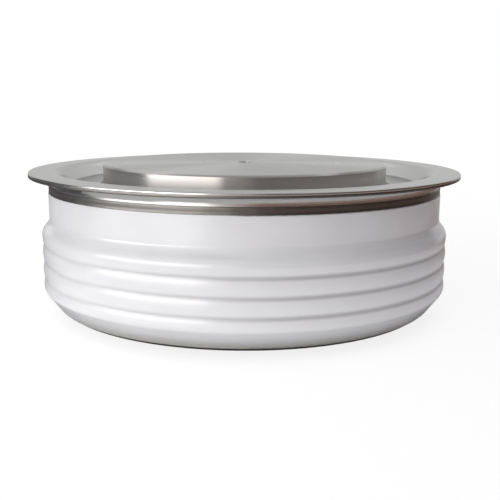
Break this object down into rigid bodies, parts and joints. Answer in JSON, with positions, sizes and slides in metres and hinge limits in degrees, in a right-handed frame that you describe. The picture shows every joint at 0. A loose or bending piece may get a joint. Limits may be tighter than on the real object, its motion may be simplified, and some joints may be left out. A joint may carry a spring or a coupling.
{
  "type": "disc thyristor",
  "caption": "Press-pack thyristor cell: round plated copper contact faces held in a ribbed ceramic ring by thin flanges welded at a wide rim; clamped between heat sinks.",
  "frame": {"origin": "centre of the anode contact face, at the mouth of its locating hole", "axes": "+Z along the cell from the anode face to the cathode face, +Y towards the gate terminal"},
  "size_m": [0.075, 0.0845, 0.026],
  "materials": {
    "plated_copper": "fine turned nickel plating",
    "flange_sheet": "satin nickel-plated sheet",
    "alumina": "white glaze",
    "molybdenum": "lapped grey metal",
    "silicon": "polished dark grey",
    "silicone_rubber": "matt cast rubber",
    "white_plastic": "turned white plastic",
    "silver": "rolled silver foil",
    "spring_steel": "rolled spring steel",
    "tinned_metal": "tinned sheet and wire"
  },
  "bodies": {
    "root": {"anode_pole": "plated_copper", "anode_flange": "flange_sheet", "ceramic_housing": "alumina", "weld_ring": "flange_sheet", "cathode_flange": "flange_sheet", "cathode_pole": "plated_copper", "carrier_disc": "molybdenum", "silicon_wafer": "silicon", "edge_rubber": "silicone_rubber", "centring_ring": "white_plastic", "pressure_disc": "molybdenum", "contact_foil": "silver", "gate_cup": "white_plastic", "gate_pin": "silver", "gate_spring_1": "spring_steel", "gate_spring_2": "spring_steel", "gate_spring_3": "spring_steel", "gate_spring_4": "spring_steel", "gate_cap": "white_plastic", "gate_lead": "tinned_metal", "lead_sleeve": "white_plastic", "gate_ferrule": "tinned_metal", "gate_tube": "tinned_metal", "gate_tab": "tinned_metal", "cathode_tab": "tinned_metal"}
  },
  "joints": []
}
